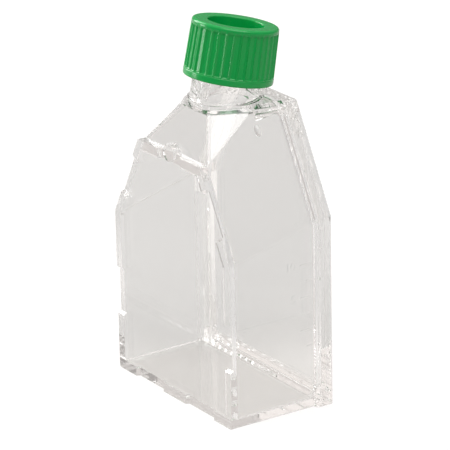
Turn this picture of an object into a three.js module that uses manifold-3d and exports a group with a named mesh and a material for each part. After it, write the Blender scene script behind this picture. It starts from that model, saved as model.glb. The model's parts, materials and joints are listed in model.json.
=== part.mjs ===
// A 25 cm² cell culture flask with a canted neck and a ribbed plug-seal screw cap.
//
// Millimetres, +Z up. The flask stands on its end: the origin is the middle of the face that it
// stands on, X runs across its width and Y through its depth, with the growth plate at -Y.

import * as THREE from 'three';
import { ConvexGeometry } from 'three/addons/geometries/ConvexGeometry.js';
import { mergeVertices } from 'three/addons/utils/BufferGeometryUtils.js';
import Module from 'manifold-3d';

const wasm = await Module();
wasm.setup();

// ---- Driving dimensions ---------------------------------------------------------------------

// Body, outside, as seen from the growth plate
const bodyWidth = 50;
const bodyDepth = 28.8; // from the stacking feet to the back of the lid
const creaseHeight = 41.5; // where the side walls turn inward, at the growth plate
const creaseHeightBack = 48.8; // the same crease, at the back
const plateHeight = 63.1; // top of the growth plate, where the ramp starts
const plateTopWidth = 27;
const endWallHeight = 73.2; // where the ramp and the shoulders meet the wall that carries the neck
const crownHeight = 1.1; // that wall's face stands this far above, with upright sides in front
const rampTopWidth = 11.1;
const rampTopDepth = 6.6; // the ramp's top edge lies this far in front of the middle
const facetTopDepth = 2.9; // the corner facets reach the shoulders this far behind it
const sideDraft = 0.25; // each side wall leans out by this much from front to back

// Walls and edges
const wall = 1.3;
const baseWall = 1.8;
const edgeRadius = 0.6;
const cavityRadius = 2; // the corners inside

// Growth plate and its stacking feet
const plateThickness = 1.3;
const footHeight = 0.9;
const footWidth = 2.5;
const footGap = 11.3;
const footGapTop = 8.8;
const footChamfer = 0.6;
const footCornerRadius = 0.9; // on the inside of the row of feet
const lowerFootLength = 15;
const shoulderFootLength = 7.1; // from the crease up the slanted edge
const baseFootLength = 11; // the middle foot of the bottom edge
const gateRadius = 2.2; // round gate tab in the middle of the top edge

// Lid, lapped over the back of the body
const lidThickness = 1.3;
const skirtDepth = 3.75;
const skirtLedge = 1; // how far the skirt stands out from the walls
const lapInset = 0.5; // the body's rebate under the skirt
const lapInsetBase = 1;
const lapGap = 0.15;
const lapRadius = 0.15; // edges of the rebate
const lidEdgeRadius = 0.3;
const notchLength = 5;
const notchDepth = 1;
const notchDrop = 1.5; // from the crease down to the notch

// Flange along the sides of the end wall, and the domed ejector pads
const flangeWidth = 1.5;
const flangeHeight = 2.4;
const flangeHeightBack = 1.3;
const flangeRadius = 0.15;
const padLength = 3; // down the shoulder
const padWidth = 1.8;
const padHeight = 0.6;
const padDistance = 5.2; // down the shoulder from the end wall

// Neck, along its own axis from the end wall
const neckTilt = THREE.MathUtils.degToRad(11);
const neckDepth = 2.1; // the axis crosses the end wall this far behind the middle
const neckRadius = 8.55;
const neckWall = 1.05;
const neckHeight = 17.3;
const neckFillet = 1.1;
const neckFilletLeast = 0.3; // how far it reaches out where the ramp and the lid come close

// Cap
const capHeight = 13.8;
const capTopRadius = 10.55;
const capBaseRadius = 10.95;
const capTopThickness = 1.5;
const capEdgeRadius = 0.7;
const capWall = 1.35;
const ribCount = 36;
const ribDepth = 0.42;
const ribFade = 0.4; // over which a groove deepens at each end
const ribFootGap = 0.1; // from the bead up to the grooves
const ribHeadGap = 0.5; // from the grooves up to the rounded top edge
const beadHeight = 1.7;
const recessRadius = 6.8;
const recessDepth = 7.4;
const recessDraft = 0.5;
const plugWall = 0.9;
const plugClearance = 0.2;
const seatClearance = 0.3;

// Facets
const ballSegments = 12;
const roundSegments = 60;
const stepsPerRib = 4;

// ---- Where things lie -----------------------------------------------------------------------

const footFace = -bodyDepth / 2;
const plateFace = footFace + footHeight;
const seam = plateFace + plateThickness;
const backFace = bodyDepth / 2;
const skirtEdge = backFace - skirtDepth;
const lidSeat = backFace - lidThickness;
const farAway = 4 * bodyWidth;
const cutLength = 8 * wall; // of a round cutter that passes right through a wall
const sides = [-1, 1];

// ---- Solids ---------------------------------------------------------------------------------

function solid(geometry) {
  const bare = geometry.clone();
  bare.deleteAttribute('normal');
  bare.deleteAttribute('uv');
  const merged = mergeVertices(bare.index ? bare.toNonIndexed() : bare, 1e-5);
  const vertProperties = new Float32Array(merged.attributes.position.array);
  const triVerts = new Uint32Array(merged.index.array);
  return new wasm.Manifold(new wasm.Mesh({ numProp: 3, vertProperties, triVerts }));
}

function geometryOf(shape) {
  const { vertProperties, triVerts } = shape.getMesh();
  const geometry = new THREE.BufferGeometry();
  geometry.setAttribute('position', new THREE.BufferAttribute(vertProperties, 3));
  geometry.setIndex(new THREE.BufferAttribute(triVerts, 1));
  return geometry;
}

const join = (shapes) => shapes.reduce((whole, shape) => whole.add(shape));

// The part of a solid that lies between two depths
function between(shape, fromY, toY) {
  const slab = new THREE.BoxGeometry(farAway, toY - fromY, farAway);
  slab.translate(0, (fromY + toY) / 2, 0);
  return shape.intersect(solid(slab));
}

// ---- Faces of a moulding, as planes whose normals point out -----------------------------------

const plane = (normal, point) =>
  new THREE.Plane().setFromNormalAndCoplanarPoint(normal.clone().normalize(), point);

const inward = (face, distance) => new THREE.Plane(face.normal, face.constant + distance);

function planeThrough(a, b, c, inside) {
  const face = new THREE.Plane().setFromCoplanarPoints(a, b, c);
  return face.distanceToPoint(inside) > 0 ? face.negate() : face;
}

function meet(a, b, c) {
  const bc = b.normal.clone().cross(c.normal);
  const ca = c.normal.clone().cross(a.normal);
  const ab = a.normal.clone().cross(b.normal);
  const volume = a.normal.dot(bc);
  if (Math.abs(volume) < 1e-9) return null;
  bc.multiplyScalar(a.constant).addScaledVector(ca, b.constant).addScaledVector(ab, c.constant);
  return bc.divideScalar(-volume);
}

function cornersOf(faces) {
  const corners = [];
  faces.forEach((a, i) => {
    faces.slice(i + 1).forEach((b, j) => {
      faces.slice(i + j + 2).forEach((c) => {
        const corner = meet(a, b, c);
        if (corner && faces.every((face) => face.distanceToPoint(corner) < 1e-6)) {
          corners.push(corner);
        }
      });
    });
  });
  return corners;
}

// The convex solid inside a set of faces, with its edges and corners rounded
function rounded(faces, radius) {
  const ball = new THREE.SphereGeometry(1, ballSegments, ballSegments / 2).attributes.position;
  const directions = faces.map((face) => face.normal.clone());
  for (let i = 0; i < ball.count; i += 1) {
    directions.push(new THREE.Vector3().fromBufferAttribute(ball, i));
  }
  const points = cornersOf(faces.map((face) => inward(face, radius))).flatMap((corner) =>
    directions.map((direction) => corner.clone().addScaledVector(direction, radius)),
  );
  return solid(new ConvexGeometry(points));
}

// ---- The body's faces -------------------------------------------------------------------------

const middle = new THREE.Vector3(0, 0, plateHeight / 2);
const mirrored = (point, side) => new THREE.Vector3(side * point.x, point.y, point.z);

const basePlane = plane(new THREE.Vector3(0, 0, -1), new THREE.Vector3());
const endPlane = plane(new THREE.Vector3(0, 0, 1), new THREE.Vector3(0, 0, endWallHeight));
const crownTop = endWallHeight + crownHeight;
const crownPlane = plane(new THREE.Vector3(0, 0, 1), new THREE.Vector3(0, 0, crownTop));
const frontPlane = plane(new THREE.Vector3(0, -1, 0), new THREE.Vector3(0, -farAway, 0));
const backPlane = plane(new THREE.Vector3(0, 1, 0), new THREE.Vector3(0, farAway, 0));

const plateCrease = new THREE.Vector3(bodyWidth / 2, seam, creaseHeight);
const plateCorner = new THREE.Vector3(plateTopWidth / 2, seam, plateHeight);
const backCrease = new THREE.Vector3(bodyWidth / 2, backFace, creaseHeightBack);
const rampCorner = new THREE.Vector3(rampTopWidth / 2, -rampTopDepth, endWallHeight);
const rampPlane = planeThrough(
  plateCorner,
  mirrored(plateCorner, -1),
  rampCorner,
  middle,
);

function sidePlane(side) {
  const foot = new THREE.Vector3(bodyWidth / 2, seam, 0);
  const back = new THREE.Vector3(bodyWidth / 2 + sideDraft, backFace, 0);
  return planeThrough(
    mirrored(foot, side),
    mirrored(plateCrease, side),
    mirrored(back, side),
    middle,
  );
}

function shoulderPlane(side) {
  return planeThrough(
    mirrored(plateCrease, side),
    mirrored(plateCorner, side),
    mirrored(backCrease, side),
    middle,
  );
}

// Where the shoulder meets the end wall, at a given depth
function shoulderTop(side, depth) {
  const across = plane(new THREE.Vector3(0, 1, 0), new THREE.Vector3(0, depth, 0));
  return meet(shoulderPlane(side), endPlane, across);
}

function cornerPlane(side) {
  return planeThrough(
    mirrored(plateCorner, side),
    mirrored(rampCorner, side),
    shoulderTop(side, facetTopDepth),
    middle,
  );
}

const wallFaces = sides.flatMap((side) => [sidePlane(side), shoulderPlane(side)]);
const frontFaces = [rampPlane, ...sides.map(cornerPlane)];

// The body's outline moved in by one distance at the base and another at every other face
function bodyOutline(top, inset, insetBase, radius) {
  const faces = [...wallFaces, ...frontFaces, top].map((face) => inward(face, inset));
  return rounded([...faces, inward(basePlane, insetBase), frontPlane, backPlane], radius);
}

// ---- Neck frame -------------------------------------------------------------------------------

const neckFrame = new THREE.Matrix4()
  .makeRotationX(-neckTilt)
  .setPosition(0, neckDepth, endWallHeight);

const upright = (geometry) => geometry.rotateX(Math.PI / 2);
const alongNeck = (geometry) => geometry.applyMatrix4(neckFrame);
const profilePoints = (pairs) => pairs.map(([radius, height]) => new THREE.Vector2(radius, height));

// A quarter or less of a circle, as [radius, height] pairs
function arc(centreRadius, centreHeight, radius, fromAngle, toAngle, steps) {
  return Array.from({ length: steps + 1 }, (_, i) => {
    const angle = fromAngle + ((toAngle - fromAngle) * i) / steps;
    return [centreRadius + radius * Math.cos(angle), centreHeight + radius * Math.sin(angle)];
  });
}

// ---- Flask body -------------------------------------------------------------------------------

const neckBore = neckRadius - neckWall;

// The tube starts well below the end wall, and the body's cavity trims it there
function neckTube() {
  const lip = neckWall / 2;
  const root = -2 * wall;
  const profile = [
    [neckBore, root],
    ...arc(neckRadius - lip, neckHeight - lip, lip, Math.PI, 0, 4),
    [neckRadius, root],
    [neckBore, root],
  ].reverse();
  return solid(alongNeck(upright(new THREE.LatheGeometry(profilePoints(profile), roundSegments))));
}

function neckHole() {
  const hole = new THREE.CylinderGeometry(neckBore, neckBore, cutLength, roundSegments);
  return solid(alongNeck(upright(hole)));
}

// A fillet round the foot of the neck, as high all round, but narrow in front and behind
function neckFoot() {
  const axis = new THREE.Vector3(0, 0, 1).transformDirection(neckFrame);
  const arcSteps = 4;
  const section = (turn) => {
    const outward = new THREE.Vector3(Math.cos(turn), Math.sin(turn), 0);
    const start = outward.clone().multiplyScalar(neckRadius).applyMatrix4(neckFrame);
    const root = start.clone().addScaledVector(axis, (crownTop - start.z) / axis.z);
    const reach = THREE.MathUtils.lerp(neckFilletLeast, neckFillet, Math.cos(turn) ** 2);
    const top = root.clone().addScaledVector(axis, neckFillet);
    const toe = root.clone().addScaledVector(outward, reach);
    const curve = new THREE.QuadraticBezierCurve3(top, root, toe).getPoints(arcSteps);
    const buried = toe.clone().setZ(crownTop - wall / 2);
    const inner = root.clone().addScaledVector(outward, -neckWall / 2);
    return [...curve, buried, inner.clone().setZ(buried.z), inner.setZ(top.z)];
  };
  return solid(ring(section, roundSegments));
}

// A closed ring whose cross-section is a loop of points for each angle
function ring(sectionAt, steps) {
  const loops = Array.from({ length: steps }, (_, i) => sectionAt((2 * Math.PI * i) / steps));
  const count = loops[0].length;
  const index = [];
  loops.forEach((_, i) => {
    const here = i * count;
    const next = ((i + 1) % steps) * count;
    for (let j = 0; j < count; j += 1) {
      const k = (j + 1) % count;
      index.push(here + j, here + k, next + j, here + k, next + k, next + j);
    }
  });
  const geometry = new THREE.BufferGeometry().setFromPoints(loops.flat());
  return geometry.setIndex(index);
}

// The upright sides of the crown, above the ramp, the corner facets and the flanges, and its bottom
function crownSides() {
  const inside = new THREE.Vector3(0, neckDepth, endWallHeight);
  const beside = sides.flatMap((side) => {
    const front = mirrored(rampCorner, side);
    const back = shoulderTop(side, facetTopDepth);
    return [
      planeThrough(front, back, front.clone().setZ(0), inside),
      plane(new THREE.Vector3(side, 0, 0), back),
    ];
  });
  return [
    ...beside,
    plane(new THREE.Vector3(0, -1, 0), rampCorner),
    plane(new THREE.Vector3(0, 1, 0), new THREE.Vector3(0, skirtEdge, 0)),
    plane(new THREE.Vector3(0, 0, -1), new THREE.Vector3(0, 0, endWallHeight - wall)),
  ];
}

function crown() {
  return rounded([...crownSides(), crownPlane], flangeRadius);
}

// The neck's fillet, trimmed flush with the sides of the crown
function trimmedNeckFoot() {
  const above = plane(new THREE.Vector3(0, 0, 1), new THREE.Vector3(0, 0, crownTop + neckHeight));
  return neckFoot().intersect(rounded([...crownSides(), above], flangeRadius));
}

// Flange that squares off the side of the end wall behind the corner facet. Its top slopes down
// from the crown, and its underside rises towards the lid.
function endFlange(side) {
  const front = shoulderTop(side, facetTopDepth);
  const back = shoulderTop(side, skirtEdge);
  const outer = (point) => point.clone().add(new THREE.Vector3(side * flangeWidth, 0, 0));
  const raised = (point, rise) => point.clone().setZ(endWallHeight + rise);
  const inside = new THREE.Vector3(0, (front.y + back.y) / 2, endWallHeight);
  return rounded(
    [
      crownPlane,
      planeThrough(raised(front, crownHeight), raised(back, crownHeight), outer(front), inside),
      planeThrough(
        raised(front, -flangeHeight),
        raised(back, -flangeHeightBack),
        raised(outer(front), -flangeHeight),
        inside,
      ),
      planeThrough(outer(front), outer(back), raised(outer(front), -flangeHeight), inside),
      plane(new THREE.Vector3(0, -1, 0), front),
      plane(new THREE.Vector3(0, 1, 0), back),
      plane(new THREE.Vector3(-side, 0, 0), new THREE.Vector3(side * rampTopWidth / 2, 0, 0)),
    ],
    flangeRadius,
  );
}

// Oval, domed ejector mark on the shoulder
function ejectorPad(side) {
  const face = shoulderPlane(side);
  const top = shoulderTop(side, facetTopDepth);
  const downhill = new THREE.Vector3(0, 1, 0).cross(face.normal).multiplyScalar(side).normalize();
  const centre = top.addScaledVector(downhill, padDistance);
  const across = downhill.clone().cross(face.normal);
  const pad = new THREE.SphereGeometry(1, 2 * ballSegments, ballSegments);
  pad.scale(padLength / 2, padHeight, padWidth / 2);
  pad.applyMatrix4(new THREE.Matrix4().makeBasis(downhill, face.normal, across));
  return solid(pad.translate(centre.x, centre.y, centre.z));
}

function flaskBody() {
  const main = between(bodyOutline(crownPlane, 0, 0, edgeRadius), seam, skirtEdge);
  const spigot = between(bodyOutline(endPlane, lapInset, lapInsetBase, lapRadius), seam, lidSeat);
  const cavity = bodyOutline(crownPlane, wall, baseWall, cavityRadius);
  const trim = sides.flatMap((side) => [endFlange(side), ejectorPad(side)]);
  const neck = neckTube().add(trimmedNeckFoot()).subtract(cavity);
  const shell = join([main, spigot, crown(), ...trim]).subtract(cavity);
  return geometryOf(shell.subtract(neckHole()).add(neck));
}

// ---- Growth plate -----------------------------------------------------------------------------

const plateFaces = [
  basePlane,
  plane(new THREE.Vector3(0, 0, 1), plateCorner),
  ...sides.flatMap((side) => {
    const slope = planeThrough(
      mirrored(plateCrease, side),
      mirrored(plateCorner, side),
      mirrored(plateCorner, side).setY(farAway),
      middle,
    );
    return [plane(new THREE.Vector3(side, 0, 0), mirrored(plateCrease, side)), slope];
  }),
];

const plateOutline = (inset, radius) =>
  rounded([...plateFaces.map((face) => inward(face, inset)), frontPlane, backPlane], radius);

// A cutter that leaves a gap in the row of feet, with chamfered ends
function gapCutter(length, x, z, angle) {
  const half = length / 2;
  const outline = new THREE.Shape(
    profilePoints([
      [-half, 0],
      [half, 0],
      [half + footChamfer, -footHeight],
      [half + footChamfer, -2 * footHeight],
      [-half - footChamfer, -2 * footHeight],
      [-half - footChamfer, -footHeight],
    ]),
  );
  const depth = 4 * footWidth;
  const cutter = new THREE.ExtrudeGeometry(outline, { depth, bevelEnabled: false });
  cutter.translate(0, 0, -depth / 2).rotateY(-angle).translate(x, plateFace, z);
  return solid(cutter);
}

function footGaps() {
  const slant = plateCorner.clone().sub(plateCrease);
  const slantGap = plateCrease.clone().addScaledVector(
    slant,
    (shoulderFootLength + footGap / 2) / slant.length(),
  );
  const slantAngle = Math.atan2(slant.z, slant.x);
  const baseGap = (baseFootLength + footGap) / 2;
  return [
    gapCutter(footGapTop, 0, plateHeight, 0),
    ...sides.flatMap((side) => [
      gapCutter(footGap, side * baseGap, 0, 0),
      gapCutter(footGap, (side * bodyWidth) / 2, lowerFootLength + footGap / 2, Math.PI / 2),
      gapCutter(footGap, side * slantGap.x, slantGap.z, side * slantAngle),
    ]),
  ];
}

function growthPlate() {
  const outline = plateOutline(0, edgeRadius);
  const inner = plateOutline(footWidth, footCornerRadius);
  const plate = between(outline, plateFace, seam);
  const rim = between(outline, footFace, plateFace).subtract(inner);
  const feet = footGaps().reduce((row, gap) => row.subtract(gap), rim);
  const gate = new THREE.CylinderGeometry(gateRadius, gateRadius, seam - footFace, ballSegments * 2);
  gate.translate(0, (footFace + seam) / 2, plateHeight);
  return geometryOf(join([plate, feet, solid(gate)]));
}

// ---- Lid --------------------------------------------------------------------------------------

function lidOutline() {
  const faces = [...wallFaces, endPlane].map((face) => inward(face, -skirtLedge));
  const back = plane(new THREE.Vector3(0, 1, 0), new THREE.Vector3(0, backFace, 0));
  return rounded([...faces, basePlane, frontPlane, back], lidEdgeRadius);
}

function skirtNotch(side) {
  const notch = new THREE.BoxGeometry(4 * skirtLedge, 2 * notchDepth, notchLength);
  const crease = meet(
    inward(sidePlane(side), -skirtLedge),
    inward(shoulderPlane(side), -skirtLedge),
    plane(new THREE.Vector3(0, 1, 0), new THREE.Vector3(0, skirtEdge, 0)),
  );
  notch.translate(crease.x, skirtEdge, crease.z - notchDrop - notchLength / 2);
  return solid(notch);
}

// The scallop in the skirt that clears the foot of the neck
function neckRelief() {
  const radius = neckRadius + neckFilletLeast + lapGap;
  const relief = new THREE.CylinderGeometry(radius, radius, cutLength, roundSegments);
  return solid(alongNeck(upright(relief.translate(0, cutLength / 2 - wall, 0))));
}

function lid() {
  const tray = between(lidOutline(), skirtEdge, backFace);
  const pocketRadius = lapRadius + lapGap;
  const pocket = bodyOutline(endPlane, lapInset - lapGap, lapInsetBase - lapGap, pocketRadius);
  const cuts = [between(pocket, footFace, lidSeat), neckRelief(), ...sides.map(skirtNotch)];
  return geometryOf(cuts.reduce((shape, cut) => shape.subtract(cut), tray));
}

// ---- Cap --------------------------------------------------------------------------------------

const capBase = neckHeight + seatClearance + capTopThickness - capHeight;
const capTop = capBase + capHeight;

function capProfile() {
  const plugRadius = neckBore - plugClearance;
  const recessFloor = capTop - recessDepth;
  const plugTip = recessFloor - plugWall;
  const underside = capTop - capTopThickness;
  const skirtBore = capBaseRadius - capWall;
  const quarter = Math.PI / 2;
  const lip = capEdgeRadius / 2;
  const bead = capBaseRadius - lip;
  return [
    [0, plugTip],
    ...arc(plugRadius - recessDraft - lip, plugTip + lip, lip, -quarter, 0, 2),
    [plugRadius, underside - plugWall],
    [plugRadius, underside],
    [skirtBore, underside],
    [skirtBore, capBase],
    ...arc(bead, capBase + lip, lip, -quarter, 0, 2),
    ...arc(bead, capBase + beadHeight - lip, lip, 0, quarter / 2, 1),
    ...ribLevels(),
    ...arc(capTopRadius - capEdgeRadius, capTop - capEdgeRadius, capEdgeRadius, 0, quarter, 3),
    ...arc(recessRadius + lip, capTop - lip, lip, quarter, 2 * quarter, 2),
    [recessRadius - recessDraft, recessFloor],
    [0, recessFloor],
  ];
}

const ribFoot = capBase + beadHeight + ribFootGap;
const ribHead = capTop - capEdgeRadius - ribHeadGap;

// Profile points where the ribs start, reach full depth and end
function ribLevels() {
  const radiusAt = (height) =>
    THREE.MathUtils.lerp(capBaseRadius, capTopRadius, (height - capBase) / capHeight);
  const heights = [ribFoot, ribFoot + ribFade, ribHead - ribFade, ribHead];
  return heights.map((height) => [radiusAt(height), height]);
}

// How deep the grooves are at a height: none at the bead and the top edge, full between them
function grooveAt(height) {
  const rise = THREE.MathUtils.clamp((height - ribFoot) / ribFade, 0, 1);
  const fall = THREE.MathUtils.clamp((ribHead - height) / ribFade, 0, 1);
  return ribDepth * Math.min(rise, fall);
}

function cap() {
  const steps = ribCount * stepsPerRib;
  const geometry = upright(new THREE.LatheGeometry(profilePoints(capProfile()), steps));
  const place = geometry.attributes.position;
  const point = new THREE.Vector3();
  for (let i = 0; i < place.count; i += 1) {
    point.fromBufferAttribute(place, i);
    const radius = Math.hypot(point.x, point.y);
    const groove = grooveAt(point.z);
    if (radius > capTopRadius - capEdgeRadius && groove > 0) {
      const turn = Math.atan2(point.y, point.x);
      const crest = Math.abs(Math.cos((turn * ribCount) / 2));
      const scale = 1 - (groove * (1 - crest)) / radius;
      place.setXY(i, point.x * scale, point.y * scale);
    }
  }
  return geometry;
}

// ---- Assembly ---------------------------------------------------------------------------------

const polystyrene = {
  color: 0xe9ecea,
  roughness: 0.05,
  metalness: 0,
  transparent: true,
  opacity: 0.35,
};
const polyethylene = { color: 0x0c8a3e, roughness: 0.4, metalness: 0 };

function piece(name, geometry, finish) {
  const mesh = new THREE.Mesh(geometry, new THREE.MeshStandardMaterial(finish));
  mesh.name = name;
  return mesh;
}

const flask = new THREE.Group();
flask.add(piece('flask_body', flaskBody(), polystyrene));
flask.add(piece('growth_plate', growthPlate(), polystyrene));
flask.add(piece('lid', lid(), polystyrene));

const neck = new THREE.Group();
neck.applyMatrix4(neckFrame);
neck.add(piece('screw_cap', cap(), polyethylene));
flask.add(neck);

export default flask;
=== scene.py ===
import functools
import itertools
import json
import math

import bmesh
import bpy
from mathutils import Matrix, Vector


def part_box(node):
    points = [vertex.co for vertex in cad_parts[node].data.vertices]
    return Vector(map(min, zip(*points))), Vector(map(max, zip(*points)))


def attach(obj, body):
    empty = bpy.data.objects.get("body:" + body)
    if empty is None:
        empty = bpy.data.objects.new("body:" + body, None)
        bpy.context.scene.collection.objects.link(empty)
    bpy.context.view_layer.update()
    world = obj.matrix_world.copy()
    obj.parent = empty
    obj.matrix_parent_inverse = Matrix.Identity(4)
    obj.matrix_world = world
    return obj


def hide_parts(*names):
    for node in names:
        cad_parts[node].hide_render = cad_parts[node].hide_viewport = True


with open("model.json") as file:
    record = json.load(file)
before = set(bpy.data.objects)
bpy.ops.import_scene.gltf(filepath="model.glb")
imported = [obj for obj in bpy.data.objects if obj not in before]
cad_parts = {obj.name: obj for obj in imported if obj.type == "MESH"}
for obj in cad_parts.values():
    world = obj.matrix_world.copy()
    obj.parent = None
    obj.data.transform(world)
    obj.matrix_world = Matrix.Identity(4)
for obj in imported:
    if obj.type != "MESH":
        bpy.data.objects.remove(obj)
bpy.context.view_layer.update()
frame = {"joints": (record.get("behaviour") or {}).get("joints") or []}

# Shapes are made in millimetres and scaled to the frame's metres when they are finished.
mm = 0.001
sides = (-1, 1)
quarterTurn = math.pi / 2
stage = bpy.context.scene.collection

# Lengths below which points or planes count as the same, in millimetres, and angles as flat, in degrees
tolerance = {
    "parallel": 1e-9,
    "plane": 1e-5,
    "point": 1e-4,
    "hullAngle": 0.1,
    "weldPoint": 0.002,
    "weldAngle": 0.4,
    "finishedPoint": 0.004,
}


def boxOf(node):
    return [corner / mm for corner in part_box(node)]


# Meshes

def makeObject(name, bm):
    mesh = bpy.data.meshes.new(name)
    bmesh.ops.recalc_face_normals(bm, faces=bm.faces)
    bm.to_mesh(mesh)
    bm.free()
    made = bpy.data.objects.new(name, mesh)
    stage.objects.link(made)
    return made


def opened(mesh):
    bm = bmesh.new()
    bm.from_mesh(mesh)
    return bm


def evaluatedMesh(thing):
    bpy.context.view_layer.update()
    depsgraph = bpy.context.evaluated_depsgraph_get()
    return bpy.data.meshes.new_from_object(thing.evaluated_get(depsgraph))


def settleModifiers(thing):
    settled = evaluatedMesh(thing)
    thing.modifiers.clear()
    thing.data = settled
    return thing


def combine(base, tool, how):
    carve = base.modifiers.new("carve", "BOOLEAN")
    carve.operation = how
    carve.solver = "MANIFOLD"
    carve.object = tool
    settleModifiers(base)
    bpy.data.objects.remove(tool)
    return base


def joined(base, *tools):
    for tool in tools:
        combine(base, tool, "UNION")
    return base


def cut(base, *tools):
    for tool in tools:
        combine(base, tool, "DIFFERENCE")
    return base


def copyOf(thing):
    twin = thing.copy()
    twin.data = thing.data.copy()
    stage.objects.link(twin)
    return twin


def place(thing, matrix):
    thing.data.transform(matrix)
    return thing


def fillHoles(bm):
    bmesh.ops.holes_fill(bm, edges=[edge for edge in bm.edges if edge.is_boundary])


# Merging near points can fold faces back to back on the same corners, or leave a crack thinner than a hair
def mergeNearby(bm, nearby):
    bmesh.ops.remove_doubles(bm, verts=bm.verts, dist=nearby)
    bmesh.ops.dissolve_degenerate(bm, edges=bm.edges, dist=nearby)
    sameCorners = {}
    for flat in bm.faces:
        sameCorners.setdefault(frozenset(flat.verts), []).append(flat)
    folded = [flat for flats in sameCorners.values() if len(flats) > 1 for flat in flats]
    bmesh.ops.delete(bm, geom=folded, context="FACES")
    fillHoles(bm)


# How edges are rounded and shaded on a finished piece
finish = {
    "edgeSegments": 2,
    "shadingMargin": 15,
    "broad": 0.6 * mm,
}


# Broad flats keep their own normal to their very edges, and narrow faces between them turn smoothly
def smoothed(thing, sharpAngle):
    nearby = tolerance["finishedPoint"] * mm
    bm = opened(thing.data)
    mergeNearby(bm, nearby)
    bm.normal_update()
    bm.faces.index_update()
    bm.to_mesh(thing.data)
    areas = [flat.calc_area() for flat in bm.faces]
    rims = [sum(edge.calc_length() for edge in flat.edges) for flat in bm.faces]
    widths = [2 * area / max(rim, nearby) for area, rim in zip(areas, rims)]
    limit = math.cos(sharpAngle)
    normals = []
    for flat in bm.faces:
        for loop in flat.loops:
            near = [other for other in loop.vert.link_faces if other.normal.dot(flat.normal) > limit]
            flats = [other for other in near if widths[other.index] > finish["broad"]]
            if widths[flat.index] > finish["broad"] or not near:
                normals.append(flat.normal.copy())
            elif flats:
                normals.append(max(flats, key=lambda other: areas[other.index]).normal.copy())
            else:
                shares = (other.normal * areas[other.index] for other in near)
                normals.append(sum(shares, Vector()).normalized())
    bm.free()
    thing.data.shade_smooth()
    thing.data.normals_split_custom_set(normals)
    return thing


def dissolveFlats(bm, degrees):
    bmesh.ops.dissolve_limit(bm, angle_limit=math.radians(degrees), verts=bm.verts, edges=bm.edges)


# Faces along one plane are merged, edges get a small radius where one is given, and the piece its real size
def finishMesh(thing, edgeRadius, sharpAngle):
    bm = opened(thing.data)
    bmesh.ops.remove_doubles(bm, verts=bm.verts, dist=tolerance["weldPoint"])
    dissolveFlats(bm, tolerance["weldAngle"])
    bm.to_mesh(thing.data)
    bm.free()
    if edgeRadius:
        bevel = thing.modifiers.new("edges", "BEVEL")
        bevel.width = edgeRadius
        bevel.segments = finish["edgeSegments"]
        bevel.angle_limit = math.radians(sharpAngle)
        bevel.use_clamp_overlap = True
    settleModifiers(thing)
    place(thing, Matrix.Scale(mm, 4))
    return smoothed(thing, math.radians(sharpAngle + finish["shadingMargin"]))


# A face is its normal, pointing out, and how far along it the face lies

def face(normal, point):
    normal = Vector(normal).normalized()
    return normal, normal.dot(Vector(point))


def faceThrough(a, b, c, inside):
    normal = (b - a).cross(c - a).normalized()
    if normal.dot(inside - a) > 0:
        normal.negate()
    return normal, normal.dot(a)


# An upright face tipped back by an angle from the height of its foot
def leaned(upright, foot, angle):
    normal, reach = upright
    tipped = normal * math.cos(angle) + Vector((0, 0, math.sin(angle)))
    return tipped, reach * math.cos(angle) + foot * math.sin(angle)


def movedIn(faces, distance):
    return [(normal, reach - distance) for normal, reach in faces]


def meet(*faces):
    normals = Matrix([normal for normal, _ in faces])
    if abs(normals.determinant()) < tolerance["parallel"]:
        return None
    return normals.inverted() @ Vector([reach for _, reach in faces])


# The solid that faces enclose, with every edge and corner rounded by a radius
def roundedHull(name, faces, radius, steps=6):
    bm = bmesh.new()
    inner = movedIn(faces, radius)
    for trio in itertools.combinations(inner, 3):
        corner = meet(*trio)
        if corner is None or any(normal.dot(corner) > reach + tolerance["plane"] for normal, reach in inner):
            continue
        if radius == 0:
            bm.verts.new(corner)
            continue
        a, b, c = (normal for normal, _ in trio)
        for i in range(steps + 1):
            for j in range(steps + 1 - i):
                direction = (a * i + b * j + c * (steps - i - j)).normalized()
                bm.verts.new(corner + direction * radius)
    bmesh.ops.remove_doubles(bm, verts=bm.verts, dist=tolerance["point"])
    hull = bmesh.ops.convex_hull(bm, input=bm.verts)
    inside = [item for item in hull["geom_interior"] if isinstance(item, bmesh.types.BMVert)]
    bmesh.ops.delete(bm, geom=inside, context="VERTS")
    dissolveFlats(bm, tolerance["hullAngle"])
    return makeObject(name, bm)


# Cuts away what lies in front of one depth and behind another, and closes the cuts
def keptBetween(thing, low, high):
    bm = opened(thing.data)
    for depth, outward in ((low, -1), (high, 1)):
        bmesh.ops.bisect_plane(
            bm,
            geom=bm.verts[:] + bm.edges[:] + bm.faces[:],
            plane_co=(0, depth, 0),
            plane_no=(0, outward, 0),
            clear_outer=True,
            dist=tolerance["plane"],
        )
        fillHoles(bm)
    bm.to_mesh(thing.data)
    bm.free()
    return thing


# A closed shape whose cross-section is a loop of points, one loop for each step round an axis
def ringOf(name, loops):
    bm = bmesh.new()
    rows = [[bm.verts.new(point) for point in loop] for loop in loops]
    for row, following in zip(rows, rows[1:] + rows[:1]):
        for j, vertex in enumerate(row):
            k = (j + 1) % len(row)
            bm.faces.new((vertex, row[k], following[k], following[j]))
    return makeObject(name, bm)


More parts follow.
